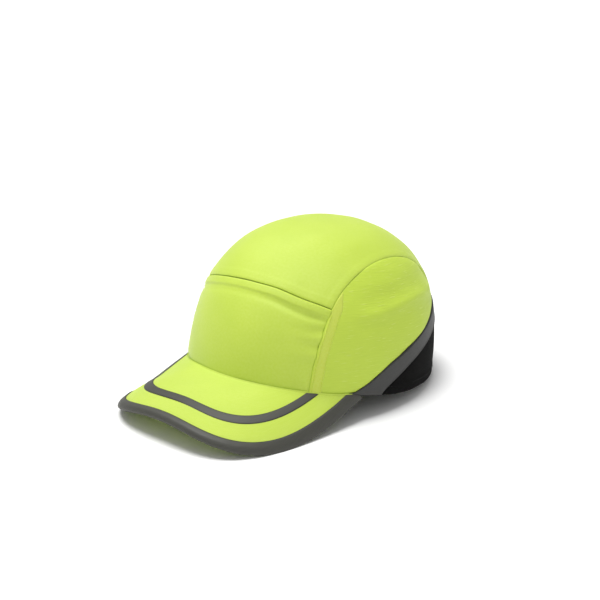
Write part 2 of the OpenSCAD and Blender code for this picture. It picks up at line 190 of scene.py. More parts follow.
def top_half_width(y):
    return 62 - 0.085 * (y + 54)


def crown_seam_z(u):
    u = np.asarray(u, float)
    low, high = np.full(u.shape, 40.0), np.full(u.shape, 110.0)
    for _ in range(24):
        z = (low + high) / 2
        p = crown(u, z)
        wide = p[..., 0] > top_half_width(p[..., 1])
        low, high = np.where(wide, z, low), np.where(wide, high, z)
    return (low + high) / 2


def band_edge(u, start, top, power):
    f = np.maximum(0, (np.abs(wrap(u)) - start) / (180 - start))
    return mix(rim_z(start), top, np.sin(PI / 2 * f ** power))


def band_top(u):
    """The band's upper edge, which keeps close to the rim for its first centimetre."""
    a = np.abs(wrap(u))
    drop = 3.0 * smooth((a - 64) / 4.5) * smooth((86 - a) / 14)
    return band_edge(u, BAND_TOP_START, BAND_TOP_Z, 0.9) - drop


def band_low(u):
    return band_edge(u, BAND_LOW_START, BAND_LOW_Z, 0.77)


def seam_end():
    """Where the seam beside the crown panel runs into the band."""
    low, high = 120.0, 160.0
    for _ in range(24):
        u = (low + high) / 2
        p = crown(u, band_top(u))
        low, high = (u, high) if p[0] > top_half_width(p[1]) else (low, u)
    return u


SEAM_END = seam_end()


def arch_z(u, grow):
    f = np.minimum(1, (180 - np.abs(wrap(u))) / (ARCH_ANGLE + grow / 1.5))
    return (ARCH_HEIGHT + grow) * np.maximum(0, 1 - f ** ARCH_POWER) ** (1 / ARCH_POWER)


# ------------------------------------------------------------------ cloth made from grids

def fine(n, ends=0.8):
    """n + 1 steps from 0 to 1, closer together at both ends."""
    t = np.linspace(0, 1, n + 1)
    return t - ends * np.sin(2 * PI * t) / (2 * PI)


def grid(spot, cols, rows):
    s, t = np.meshgrid(cols, rows)
    return spot(s, t)


def reach(p):
    """Distances over the surface to the left, right, bottom and top edges."""
    across = np.linalg.norm(np.diff(p, axis=1), axis=2)
    up = np.linalg.norm(np.diff(p, axis=0), axis=2)
    left = np.concatenate([np.zeros((len(p), 1)), np.cumsum(across, 1)], 1)
    low = np.concatenate([np.zeros((1, p.shape[1])), np.cumsum(up, 0)], 0)
    return left, left[:, -1:] - left, low, low[-1:] - low


def normals(p, ring=False):
    if ring:
        wide = np.concatenate([p[:, -2:-1], p, p[:, 1:2]], 1)
        a = (wide[:, 2:] - wide[:, :-2]) / 2
    else:
        a = np.gradient(p, axis=1)
    n = np.cross(a, np.gradient(p, axis=0))
    n /= np.maximum(1e-9, np.linalg.norm(n, axis=-1, keepdims=True))
    return n


def drift(p, size, seed):
    """Soft unevenness of about -1 to 1 over lengths of about size."""
    rng = np.random.RandomState(seed)
    total = 0
    for _ in range(7):
        d = rng.normal(size=3)
        d /= np.linalg.norm(d) * size * rng.uniform(0.7, 1.5)
        total = total + np.sin(2 * PI * (p @ d) + rng.uniform(0, 2 * PI))
    return total / 3.5


def finish_piece(obj, material, body, node=None):
    obj.data.materials.append(material)
    obj.data.polygons.foreach_set("use_smooth", [True] * len(obj.data.polygons))
    if body:
        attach(obj, body)
    if node:
        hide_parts(node)
    return obj


def mesh_object(name, points, faces):
    mesh = bpy.data.meshes.new(name)
    mesh.from_pydata(place(points).tolist(), [], faces)
    mesh.validate()
    obj = bpy.data.objects.new(name, mesh)
    bpy.context.collection.objects.link(obj)
    return obj


def point_attribute(obj, name, values):
    attribute = obj.data.attributes.new(name, "FLOAT", "POINT")
    attribute.data.foreach_set("value", np.asarray(values, np.float32).ravel())


def solid_sheet(name, outer, inner, material, slot, body="cap", node=None, ring=False, edge=0.0,
                level=False, keep=None):
    """A closed solid between two grids of points, rows upward and columns to the right as seen from
    outside. It replaces node, or the one its name starts with, up to the last word. ring joins the last
    column, which repeats the first, to it. edge is the painted shade at the borders, a painted highlight
    where it is below 0. level lays the weave level with the rim, and keep(i, j) leaves out the cells it is
    false for."""
    left, _, low, _ = reach(outer)
    if level:
        low = outer[..., 2]
    cells = outer.shape[1] - 1
    if ring:
        outer, inner, left, low = (a[:, :-1] for a in (outer, inner, left, low))
    rows, cols = outer.shape[:2]
    count = rows * cols

    def at(i, j):
        return i * cols + j % cols

    def there(i, j):
        inside = 0 <= i < rows - 1 and (ring or 0 <= j < cells)
        return inside and (keep is None or keep(i, j % cells))

    faces = []
    for i in range(rows - 1):
        for j in range(cells):
            if not there(i, j):
                continue
            a, b, c, d = at(i, j), at(i, j + 1), at(i + 1, j + 1), at(i + 1, j)
            faces += [(a, b, c, d), (a + count, d + count, c + count, b + count)]
            borders = ((i - 1, j, a, b), (i, j + 1, b, c), (i + 1, j, c, d), (i, j - 1, d, a))
            faces += [(p, p + count, q + count, q) for k, l, p, q in borders if not there(k, l)]
    obj = mesh_object(name, np.concatenate([outer.reshape(-1, 3), inner.reshape(-1, 3)]), faces)
    shade = np.broadcast_to(edge, (rows, cells + 1))[:, :cols]
    for attribute, values in (("along", left), ("across", low), ("edge", shade)):
        point_attribute(obj, attribute, np.tile(values.ravel(), 2))
    return finish_piece(obj, material, body, node or name.rpartition("_")[0])


def settle(p, inset=0.0):
    """The crown's points with the front seam a little askew: high in the middle, low at the right."""
    x, y, z = p[..., 0], p[..., 1], p[..., 2]
    shift = 3 * smooth((50 - x) / 25) - 9 * smooth((10 - x) / 70)
    shift = shift * bump(z, 45, 100, 30) * smooth((-20 - y) / 25)
    moved = onto_crown(p + shift[..., None] * np.array([0, 0, 1]), inset)
    return np.where(np.abs(shift[..., None]) > 0.001, moved, p)


def mirrored(p):
    """The same grid on the cap's other side, with its columns still running to the right."""
    return (p * np.array([-1, 1, 1]))[:, ::-1]


def cloth(name, base, offset, thickness, material, slot, edge=0.0, flip=False, **more):
    """A sheet whose outer face stands off a grid of points by offset, along the surface's normal. flip
    makes it on the cap's other side."""
    if flip:
        base, offset, edge = settle(mirrored(base)), offset[:, ::-1], edge[:, ::-1]
    n = normals(base)
    size = base.shape[:2]
    outer = base + n * np.broadcast_to(offset, size)[..., None]
    inner = outer - n * np.broadcast_to(thickness, size)[..., None]
    return solid_sheet(name, outer, inner, material, slot, edge=edge, **more)


def to_border(p):
    """Distance over the surface to the nearest edge."""
    return np.minimum.reduce(reach(p))


# ------------------------------------------------------------------ materials

class Look:
    """A procedural material round one Principled shader."""

    def __init__(self, name, colour, roughness, **sockets):
        self.mat = bpy.data.materials.new(name)
        self.mat.use_nodes = True
        self.nodes = self.mat.node_tree.nodes
        self.shader = self.nodes["Principled BSDF"]
        self.colour = (*colour, 1)
        self.shader.inputs["Base Color"].default_value = self.colour
        self.shader.inputs["Roughness"].default_value = roughness
        for key, value in sockets.items():
            self.shader.inputs[key.replace("_", " ")].default_value = value
        self.height = None

    def add(self, kind, inputs=(), **settings):
        node = self.nodes.new("ShaderNode" + kind)
        for key, value in settings.items():
            setattr(node, key, value)
        for key, value in dict(inputs).items():
            self.feed(node.inputs[key], value)
        return node

    def feed(self, socket, value):
        if isinstance(value, bpy.types.NodeSocket):
            self.mat.node_tree.links.new(value, socket)
        else:
            socket.default_value = value

    def maths(self, operation, a, b=0.0):
        return self.add("Math", {0: a, 1: b}, operation=operation).outputs[0]

    def times(self, a, b):
        return self.maths("MULTIPLY", a, b)

    def attribute(self, name):
        return self.add("Attribute", attribute_name=name).outputs["Fac"]

    def cloth_space(self):
        """Millimetres along and across the cloth."""
        return self.add("CombineXYZ", {0: self.attribute("along"), 1: self.attribute("across")}).outputs[0]

    def object_space(self):
        return self.add("TexCoord").outputs["Object"]

    def noise(self, space, scale, detail, stretch=(1, 1, 1)):
        if stretch != (1, 1, 1):
            space = self.add("Mapping", {0: space, 3: stretch}).outputs[0]
        return self.add("TexNoise", {"Vector": space, "Scale": scale, "Detail": detail}).outputs["Fac"]

    def tint(self, factor, colour):
        """Mixes colour over the base colour by factor."""
        socket = self.shader.inputs["Base Color"]
        base = socket.links[0].from_socket if socket.is_linked else self.colour
        node = self.add("Mix", {0: factor, 6: base, 7: (*colour, 1)}, data_type="RGBA")
        self.feed(socket, node.outputs[2])

    def patches(self, space, scale, detail, low, high, share, colour):
        """Tints soft patches of noise, where it lies between low and high, by share."""
        patch = self.stretched(self.noise(space, scale, detail), low, high)
        self.tint(self.times(patch, share), colour)

    def stretched(self, value, low, high):
        """value stretched so that low becomes 0 and high becomes 1."""
        return self.add("MapRange", {0: value, 1: low, 2: high, 3: 0.0, 4: 1.0}).outputs[0]

    def raise_by(self, value, distance):
        """Adds to the bump height, with distance in metres for a value of 1."""
        node = self.add("Bump", {"Height": value, "Distance": distance, "Strength": 1.0})
        if self.height is not None:
            self.feed(node.inputs["Normal"], self.height)
        self.height = node.outputs[0]
        self.feed(self.shader.inputs["Normal"], self.height)

    def weave(self, pitch=0.55, depth=0.00004):
        along, across = self.attribute("along"), self.attribute("across")
        warp = self.maths("SINE", self.times(along, 2 * PI / pitch))
        weft = self.maths("SINE", self.times(across, 2 * PI / pitch))
        self.raise_by(self.times(warp, weft), depth)


LIME = (0.50, 0.65, 0.052)
LIME_DEEP = (0.43, 0.59, 0.040)
LIME_PALE = (0.59, 0.72, 0.12)
LIME_YELLOW = (0.55, 0.65, 0.060)


def lime_cloth(name, colour, roughness):
    return Look(name, colour, roughness, Specular_IOR_Level=0.6, Sheen_Weight=0.08, Sheen_Roughness=0.4)


def paint_seam_shade(look):
    # Painted shade in the seams: deeper lime where the edge attribute marks a seam border.
    look.tint(look.times(look.attribute("edge"), 0.6), LIME_DEEP)


def smooth_lime():
    look = lime_cloth("lime_cloth", LIME, 0.5)
    space = look.cloth_space()
    look.patches(space, 0.5, 4, 0.35, 0.75, 0.35, LIME_PALE)
    look.patches(space, 0.03, 2, 0.35, 0.7, 0.3, LIME_DEEP)
    paint_seam_shade(look)
    look.weave()
    look.raise_by(look.noise(space, 0.9, 3), 0.00004)
    return look.mat


def strip_lime():
    look = lime_cloth("lime_strip_cloth", LIME_YELLOW, 0.6)
    space = look.cloth_space()
    look.patches(space, 0.6, 3, 0.35, 0.75, 0.5, LIME_PALE)
    paint_seam_shade(look)
    look.weave()
    return look.mat


def slub_lime():
    look = lime_cloth("lime_slub_cloth", LIME, 0.65)
    space = look.cloth_space()
    slubs = look.stretched(look.noise(space, 1.0, 1, (0.09, 0.9, 1)), 0.62, 0.74)
    shade = look.stretched(look.noise(space, 1.0, 2, (0.06, 1.3, 1)), 0.35, 0.65)
    look.tint(look.times(shade, 0.4), LIME_DEEP)
    look.tint(look.times(slubs, 0.7), LIME_PALE)
    paint_seam_shade(look)
    look.raise_by(slubs, 0.0001)
    look.raise_by(shade, 0.00006)
    return look.mat


def reflective(name, shade, blue):
    """Bead-coated tape, darker where the edge attribute is above 0, a painted shade at its borders, and
    lighter where it is below, a painted highlight.
    """
    def grey(share):
        return (share * shade, share * shade, share * blue * shade)

    look = Look(name, grey(1), 0.55, Specular_IOR_Level=0.45)
    space = look.cloth_space()
    look.patches(space, 0.25, 5, 0.3, 0.75, 0.5, grey(1.4))
    # Painted shade along the borders where edge is above 0, and a painted highlight where it is below 0.
    border = look.attribute("edge")
    look.tint(border, grey(0.5))
    look.tint(look.times(border, -1.0), grey(2.4))
    look.raise_by(look.noise(space, 3.0, 2), 0.00004)
    return look.mat


def black_cloth():
    look = Look("black_cloth", (0.0026, 0.0025, 0.0024), 0.9, Specular_IOR_Level=0.1)
    space = look.cloth_space()
    look.patches(space, 0.6, 4, 0.4, 0.75, 0.6, (0.008, 0.0077, 0.0073))
    look.weave(0.7, 0.00006)
    return look.mat


def webbing_look():
    look = Look("webbing", (0.014, 0.014, 0.014), 0.7, Sheen_Weight=0.08)
    ribs = look.maths("SINE", look.times(look.attribute("across"), 2 * PI / 1.1))
    picks = look.maths("SINE", look.times(look.attribute("along"), 2 * PI / 0.7))
    # Painted light on the ribs: their crests are tinted lighter than the grooves between them.
    look.tint(look.times(look.stretched(ribs, -0.5, 1), 0.5), (0.03, 0.03, 0.03))
    look.raise_by(ribs, 0.00012)
    look.raise_by(look.times(ribs, picks), 0.00006)
    return look.mat


def pile_look(name, colour, scale, depth):
    look = Look(name, colour, 0.9, Sheen_Weight=0.2)
    space = look.cloth_space()
    look.patches(space, scale, 4, 0.45, 0.8, 1.0, tuple(2.2 * c for c in colour))
    look.raise_by(look.noise(space, scale, 3), depth)
    return look.mat


def plastic_look(name, colour, roughness, grain):
    look = Look(name, colour, roughness, Specular_IOR_Level=0.45)
    space = look.object_space()
    look.patches(space, 60, 3, 0.4, 0.7, 0.5, tuple(1.5 * c for c in colour))
    uneven = look.times(look.noise(space, 220, 3), roughness * 0.5)
    look.feed(look.shader.inputs["Roughness"], look.maths("ADD", uneven, roughness * 0.75))
    look.raise_by(look.noise(space, 1500, 2), grain)
    return look.mat


def foam_look():
    look = Look("foam", (0.055, 0.056, 0.060), 0.95)
    space = look.object_space()
    cells = look.add("TexVoronoi", {"Vector": space, "Scale": 900.0}).outputs["Distance"]
    look.tint(look.stretched(cells, 0.1, 0.6), (0.035, 0.035, 0.038))
    look.raise_by(cells, 0.00015)
    return look.mat


def plain_cloth(name, colour, pitch, depth):
    look = Look(name, colour, 0.85)
    space = look.cloth_space()
    look.patches(space, 0.8, 3, 0.35, 0.75, 1.0, tuple(0.8 * c for c in colour))
    look.weave(pitch, depth)
    return look.mat


# ------------------------------------------------------------------ the sewn crown

def roll(d, depth=1.0, width=0.7):
    """Cloth that turns down into a seam at distance d."""
    return -depth * np.exp(-d / width)


def painted_border_mask(d, width):
    """The mask of painted shade along seams and tape borders, 1 within width of the border; on the band it
    also places a painted highlight.
    """
    return smooth((width - d) / 0.5 + 0.5)


def front_spot(s, t):
    w = 2 * s - 1
    foot = rim_z(50 * w) - FOOT
    u = w * side_seam(mix(foot, front_seam(50 * w), t))
    return crown(u, mix(rim_z(u) - FOOT, front_seam(u), t))


def front_panel(look):
    base = grid(front_spot, fine(100), fine(90))
    left, right, low, top = reach(base)
    side = np.minimum(left, right)
    w = (left - right) / (left + right)
    pull = 0.3 + 0.7 * smooth((w - 0.1) / 0.6)
    offset = (0.8 * bump(top, 0.6, 6.4, 2.0) - 1.5 * pull * hill(top, 9.8, 2.8)
              + 0.8 * np.exp(-side / 9) * np.sin(low / 2.1 + 1.5 * drift(base, 40, 5)) * bump(low, 24, 64, 12)
              + 0.3 * np.exp(-low / 9) * drift(base * [1, 1, 0.3], 17, 8)
              + 0.3 * drift(base, 48, 1)
              + roll(top, 0.3, 0.5) + roll(side, 0.4, 0.5)
              + roll(np.maximum(0, low - FOOT + 0.3), 0.7, 0.8))
    # Painted shade along the panel's top and side seams.
    edge = 0.2 * painted_border_mask(top, 0.3) + 0.2 * painted_border_mask(side, 0.3)
    return cloth("front_panel_cloth", settle(base), offset, FABRIC, look, "hi_vis_fabric", edge)


def crown_spot(s, t):
    def side(k, sign):
        u = mix(SEAM_TOP, SEAM_END, k)
        return crown(u, crown_seam_z(u)) * [sign, 1, 1]

    def front(k):
        u = mix(-SEAM_TOP, SEAM_TOP, k)
        return crown(u, front_seam(u))

    def back(k):
        u = mix(360 - SEAM_END, SEAM_END, k)
        return crown(u, band_top(u))

    s, t = s[..., None], t[..., None]
    along = mix(front(s[..., 0]), back(s[..., 0]), t)
    across = mix(side(t[..., 0], -1), side(t[..., 0], 1), s)
    low = mix(front(np.array(0.0)), front(np.array(1.0)), s)
    high = mix(back(np.array(0.0)), back(np.array(1.0)), s)
    return onto_crown(along + across - mix(low, high, t))


def crown_panel(look):
    base = grid(crown_spot, fine(90), fine(140))
    left, right, low, top = reach(base)
    side = np.minimum(left, right)
    offset = (0.28 * bump(low, 0.8, 7, 3) + 0.25 * bump(side, 0.8, 6, 3) + 0.35 * drift(base, 60, 2)
              + 0.15 * drift(base, 24, 3) + roll(low, 0.3, 0.5) + roll(side, 0.35, 0.5) + roll(top, 0.6))
    # Painted shade along the panel's front and side seams.
    edge = 0.2 * painted_border_mask(low, 0.3) + 0.2 * painted_border_mask(side, 0.3)
    return cloth("crown_panel_cloth", settle(base), offset, FABRIC, look, "hi_vis_fabric", edge)


def side_spot(s, t):
    def low(u):
        return np.where(u < BAND_TOP_START, rim_z(u) - FOOT * smooth((66 - u) / 4), band_top(u))

    def top(u):
        return crown_seam_z(np.maximum(u, SEAM_TOP))

    f = s * 0.99
    guess = mix(mix(SEAM_LOW, SEAM_TOP, t), SEAM_END, f)
    z = mix(low(guess), top(guess), t)
    u = mix(side_seam(np.minimum(z, 68)), SEAM_END, f)
    return crown(u, mix(low(u), top(u), t))


def side_panel(look, name, flip):
    base = grid(side_spot, fine(110), fine(80))
    left, right, low, top = reach(base)
    u = np.degrees(np.arctan2(base[..., 0] / HALF_WIDTH, -base[..., 1] / CROWN_FRONT))
    over = base[..., 2] - (60 + 7 * smooth((u - 70) / 40))
    held = smooth((u - 62) / 16) * smooth((right - 4) / 16) * (0.6 if flip else 1.0)
    offset = (held * (1.1 * hill(over, 2, 4) - 0.6 * hill(over, -7, 7)
                      - 0.8 * hill(over, 13, 6))
              + 0.35 * drift(base, 50, 11) + 0.12 * drift(base * [1, 1, 2.5], 22, 12)
              + roll(left, 0.5, 0.5) + roll(top, 0.5, 0.5) + roll(low, 0.7, 0.7) + roll(right, 0.5))
    # Painted shade along the side seam and the seam to the crown panel.
    edge = 0.2 * painted_border_mask(np.minimum(left, top), 0.3)
    return cloth(f"{name}_cloth", base, offset, FABRIC, look, "hi_vis_fabric", edge, flip, level=True)


def seam_strip(look, name, flip):
    def spot(s, t):
        u = SEAM_TOP + 0.3 + 5.2 * s
        z = mix(rim_z(50), crown_seam_z(u) - 0.6, t)
        return crown(side_seam(np.minimum(z, 67.5)) + 0.3 + 5.2 * s, z)

    base = grid(spot, fine(14), fine(60))
    left, right, _, top = reach(base)
    offset = 0.55 + roll(left, 0.9, 0.6) + roll(right, 0.45, 0.9) + roll(top, 0.8) + 0.08 * drift(base, 15, 4)
    # Painted shade along the strip's outer border.
    edge = 0.15 * painted_border_mask(right, 0.4)
    return cloth(f"{name}_cloth", base, offset, 0.5, look, "hi_vis_fabric", edge, flip)


def band_spot(s, t):
    low = mix(BAND_LOW_START, 360 - BAND_LOW_START, s)
    top = mix(BAND_TOP_START, 360 - BAND_TOP_START, s)
    return crown(mix(low, top, t), mix(band_low(low), band_top(top), t))


def reflective_band(look):
    base = grid(band_spot, np.linspace(0, 1, 260), fine(18, 0.7))
    _, _, low, top = reach(base)
    offset = 0.45 + roll(np.minimum(low, top), 0.5, 0.5) + 0.10 * drift(base, 26, 21)
    # A painted shadow line along the band's upper border and a painted highlight along its lower border.
    return cloth("reflective_band_tape", base, offset, FABRIC + 0.2, look, "reflective_fabric",
                 painted_border_mask(top, 0.9) - 0.6 * painted_border_mask(low, 0.7))


def rear_spot(s, t):
    arch = ARCH_ANGLE + 2.0
    edge = BAND_LOW_START + 0.3
    u = np.where(s < 0.3, mix(edge, 180 - arch, s / 0.3),
                 np.where(s > 0.7, mix(180 + arch, 360 - edge, (s - 0.7) / 0.3),
                          180 - arch * np.cos(PI * (s - 0.3) / 0.4)))
    return crown(u, mix(np.maximum(rim_z(u), arch_z(u, 2.2)), band_low(u), t))


def rear_panel(look):
    base = grid(rear_spot, np.linspace(0, 1, 320), fine(50))
    top = reach(base)[3]
    z = base[..., 2]
    offset = (0.3 * bump(z, 0.4, 8, 1.2) - 0.4 * np.exp(-z / 2.5) * (z < 12) + 0.35 * drift(base, 40, 31)
              + 0.3 * np.exp(-z / 12) * drift(base * [1, 1, 0.3], 26, 32) + roll(top, 0.9))
    return cloth("rear_panel_cloth", base, offset, FABRIC, look, "black_fabric")


# ------------------------------------------------------------------ the brim

def rim_share(x):
    s = np.minimum(1, np.abs(x) / HALF_WIDTH)
    return np.maximum(0, 1 - s ** PLAN_POWER) ** (1 / PLAN_POWER)


def brim_z(x, y):
    """The brim's height. On the wearer's right it sits lower behind the corner, with a flatter border,
    and at both sides it turns up to meet the rim."""
    s = np.minimum(1, np.abs(x) / HALF_WIDTH)
    share = rim_share(x)
    ahead = -(y + CROWN_FRONT * share)
    lower = 3.0 * smooth((-x - 20) / 40) - 3.5 * smooth((-x - 74) / 7.5) * smooth(ahead / 25)
    turn_up = 1.0 * smooth((y + 62) / 20) * smooth((np.abs(x) - 70) / 8)
    return (rim_z(np.degrees(np.arctan2(s, share))) - (BRIM_PITCH + 0.02 * s * s) * ahead
            - lower * bump(y, -117.5, -51, 25) + turn_up)


def brim_outline(share, inset):
    """The brim's outline drawn in by inset. share runs along it from -1 to 1, from rim to rim."""
    a = PI / 2 * smooth(np.linspace(0, 1, 900))
    x = (BRIM_HALF_WIDTH - inset * SIDE_INSET_SHARE) * np.sin(a) ** (2 / BRIM_POWER)
    y = BRIM_SIDE_Y - (BRIM_REACH - inset + BRIM_SIDE_Y) * np.cos(a) ** (2 / BRIM_POWER)
    x = np.append(x, np.full(100, x[-1]))
    y = np.append(y, BRIM_SIDE_Y + np.linspace(0.1, 12, 100))
    clear = y < -(CROWN_FRONT + 0.4) * rim_share(x / (1 + 0.4 / HALF_WIDTH)) - 0.2
    x, y = x[clear], y[clear]
    along = np.append(0, np.cumsum(np.hypot(np.diff(x), np.diff(y))))
    at = np.abs(share) * along[-1]
    return np.stack([np.sign(share) * np.interp(at, along, x), np.interp(at, along, y)], -1)


def on_brim(q, height):
    return np.stack([q[..., 0], q[..., 1], brim_z(q[..., 0], q[..., 1]) + height], -1)


def brim_grid(cols, rows, inset, height):
    """Points from the brim's outline, at the first row, back to the crown's rim."""
    s, t = np.meshgrid(cols, rows)
    w = 2 * s - 1
    rim = crown(w * BRIM_SPAN, rim_z(w * BRIM_SPAN), FABRIC / 2)[..., :2]
    return on_brim(mix(brim_outline(w, inset), rim, t[..., None]), height)


def brim_cover(look, name, under):
    cols, rows = fine(150, 0.5), fine(50)
    height = (2.4 * smooth((rows - 0.88) / 0.12) - BRIM_THICK)[:, None] if under else 0.0
    base = brim_grid(cols, rows, 1.5, height)
    _, _, low, top = reach(base)
    offset = (0.14 * drift(base, 42, 41 + under) + roll(top, 0.7, 0.8)
              - 0.25 * hill(low, EDGING - 1.2, 1.2))
    if under:
        base, offset = base[:, ::-1], offset[:, ::-1]
    return cloth(f"{name}_cloth", base, offset, COVER, look, "hi_vis_fabric")


def brim_board(look):
    """The stiff board between the two covers, which meet behind it."""
    cols, rows = fine(150, 0.5), 0.86 * fine(30)
    return solid_sheet("brim_core_board", brim_grid(cols, rows, 2.2, -1.1),
                       brim_grid(cols, rows, 2.2, 1.1 - BRIM_THICK), look, "brim_board")


def brim_edging(look):
    """The tape folded round the brim's edge. The section's rows run from its border below, round the
    edge, to its border on top."""
    half, swell = BRIM_THICK / 2, 1.0
    turn = np.radians(np.linspace(-90, 90, 17))
    flat = np.linspace(EDGING, 2.2, 9)
    inset = np.concatenate([flat, 1.9 - 2.2 * np.cos(turn), flat[::-1]])
    ride = half + mix(0.2, swell, smooth((EDGING - flat) / 1.6))
    side = np.concatenate([-ride, (half + swell) * np.sin(turn), ride[::-1]])
    a = np.linspace(-1, 1, 220)

    def row(i, h):
        return on_brim(brim_outline(a, i), h - half)

    outer = np.array([row(i, h) for i, h in zip(inset, side)])
    inner = np.array([row(i + EDGING_WALL * (i < 2.2), h * (1 - EDGING_WALL / (half + swell)))
                      for i, h in zip(inset, side)])
    _, _, low, top = reach(outer)
    corner = hill(np.abs(outer[..., 0]), 66, 14) * (outer[..., 1] < -115)
    ripple = drift(outer, 9, 51) * (0.4 + corner) * bump(np.minimum(low, top), 1, 40, 1)
    outer = outer + 0.12 * normals(outer) * ripple[..., None]
    # Painted shade along the tape's inner borders on top and below.
    return solid_sheet("brim_edging_tape", outer, inner, look, "reflective_fabric",
                       edge=painted_border_mask(np.minimum(low, top), 0.8), node="brim_edge_binding")


def stripe_line(share, inset, height=0.0):
    """A line of the stripe, which runs a little further in on the wearer's right."""
    x, y = brim_outline(share, inset).T
    x = x + 3.0 * smooth((-x - 46) / 18) * smooth((y + 128) / 35)
    return on_brim(np.stack([x, y], -1), height)


def brim_stripe(look):
    a = np.linspace(-1, 1, 240)
    base = np.array([stripe_line(a, STRIPE_INSET + STRIPE_WIDTH * k) for k in fine(14, 0.6)])
    _, _, low, top = reach(base)
    side = np.minimum(low, top)
    offset = 0.42 + roll(side, 0.35, 0.4) + 0.05 * drift(base, 18, 61)
    # Painted shade along the stripe's borders.
    return cloth("brim_stripe_tape", base, offset, STRIPE_TAPE, look, "reflective_fabric",
                 painted_border_mask(side, 0.7))


# ------------------------------------------------------------------ stitches

def resample(points, pitch):
    """Points spaced evenly along a line of points, and the line's direction there."""
    steps = np.linalg.norm(np.diff(points, axis=0), axis=1)
    along = np.concatenate([[0], np.cumsum(steps)])
    middles = np.arange(pitch / 2, along[-1], pitch)

    def at(d):
        return np.stack([np.interp(d, along, points[:, k]) for k in range(3)], 1)

    heading = at(middles + 0.3) - at(middles - 0.3)
    return at(middles), heading / np.linalg.norm(heading, axis=1, keepdims=True)


def stitches(name, lines, material, body="cap", pitch=2.7, length=1.9, thick=0.2):
    """Rows of sewn stitches: one small spindle of thread for each, along lines of points."""
    rings = [(-0.5, 0.25), (-0.36, 0.8), (0, 1.0), (0.36, 0.8), (0.5, 0.25)]
    sides = 6
    points, faces = [], []
    for line in lines:
        for centre, t in zip(*resample(np.asarray(line), pitch)):
            a = np.cross(t, [0.31, 0.17, 0.94])
            a /= np.linalg.norm(a)
            b = np.cross(t, a)
            start = len(points)
            for f, r in rings:
                for k in range(sides):
                    w = 2 * PI * k / sides
                    points.append(centre + f * length * t + r * thick * (np.cos(w) * a + np.sin(w) * b))
            for i in range(len(rings) - 1):
                for k in range(sides):
                    p, q = start + i * sides + k, start + i * sides + (k + 1) % sides
                    faces.append((p, q, q + sides, p + sides))
            faces.append(tuple(start + k for k in reversed(range(sides))))
            faces.append(tuple(start + (len(rings) - 1) * sides + k for k in range(sides)))
    return finish_piece(mesh_object(name, np.array(points), faces), material, body)


def crown_line(from_u, to_u, height, lift, count=400):
    """A line of points on the crown along height(u), lifted off it."""
    u = np.linspace(from_u, to_u, count)
    return crown(u, height(u), -lift)


def crown_stitches(lime_thread, grey_thread, black_thread):
    z = np.linspace(8, 64, 80)
    side_line = crown(side_seam(z) + 1.1, z, -0.75)
    strip_line = crown(side_seam(z) + 4.9, z, -0.6)
    flipped = np.array([-1, 1, 1])
    stitches("side_seam_stitches", [side_line, side_line * flipped, strip_line, strip_line * flipped],
             lime_thread)
    rows = [crown_line(start + 2, 358 - start, height, 0.5)
            for start, height in ((BAND_TOP_START, lambda u: band_top(u) - 1.2),
                                  (BAND_LOW_START, lambda u: band_low(u) + 1.2))]
    stitches("band_stitches", rows, grey_thread)
    arch = [crown(*arch_spot(np.linspace(3, 177, 160), 2.0), inset) for inset in (-0.72, 1.72)]
    stitches("arch_stitches", arch, black_thread)
    hem = [crown_line(start, start + 60, lambda u: rim_z(u) + 6, 0.3) for start in (84, 216)]
    stitches("rim_stitches", hem, black_thread)


def brim_stitches(grey_thread):
    a = np.linspace(-1, 1, 400)

    def line(inset, height):
        return on_brim(brim_outline(0.985 * a, inset), height)

    stitches("edging_stitches", [line(EDGING - 1.1, 0.72), line(EDGING - 1.1, -BRIM_THICK - 0.72)],
             grey_thread)
    rows = [stripe_line(0.985 * a, STRIPE_INSET + i, 0.42) for i in (1.0, STRIPE_WIDTH - 1.0)]
    stitches("stripe_stitches", rows, grey_thread, thick=0.14)


# ------------------------------------------------------------------ rear opening and lining

def arch_spot(a, grow):
    """Azimuth and height round the rear opening at angle a, grow millimetres out from its edge."""
    a = np.radians(a)
    u = 180 - (ARCH_ANGLE + grow / 1.5) * np.sign(np.cos(a)) * np.abs(np.cos(a)) ** (2 / ARCH_POWER)
    return u, (ARCH_HEIGHT + grow) * np.abs(np.sin(a)) ** (2 / ARCH_POWER)


def arch_binding(look):
    """Tape folded round the rear opening's edge, as rows of [growth, inset] from inside to outside."""
    turn = np.radians(np.linspace(-90, 90, 9))
    grow = np.concatenate([[2.7, 2.4, 1.5], 0.7 - 0.7 * np.cos(turn), [1.5, 2.4, 2.7]])
    inset = np.concatenate([[1.15, 1.6, 1.75], 0.55 - 1.2 * np.sin(turn), [-0.65, -0.5, -0.05]])
    a = np.linspace(0, 180, 150)

    def rows(shrink):
        middle = mix(inset, 0.55, shrink)
        return np.array([crown(*arch_spot(a, g + 0.45 * (g < 0.7) * (shrink > 0)), i)
                         for g, i in zip(grow, middle)])

    outer, inner = rows(0), rows(0.4)
    _, _, low, top = reach(outer)
    ripple = drift(outer, 8, 71) * bump(np.minimum(low, top), 0.8, 20, 1)
    outer = outer + 0.10 * normals(outer) * ripple[..., None]
    return solid_sheet("arch_binding_tape", outer, inner, look, "black_fabric")


def lining_tape(name, base, material, slot):
    """A flat piece sewn inside the crown, on a grid that already lies inside it."""
    round_off = 0.35 * LINING_TAPE * np.exp(-to_border(base) / 0.5)
    return cloth(name, base, -round_off + 0.08 * drift(base, 20, 81), LINING_TAPE - 2 * round_off,
                 material, slot)


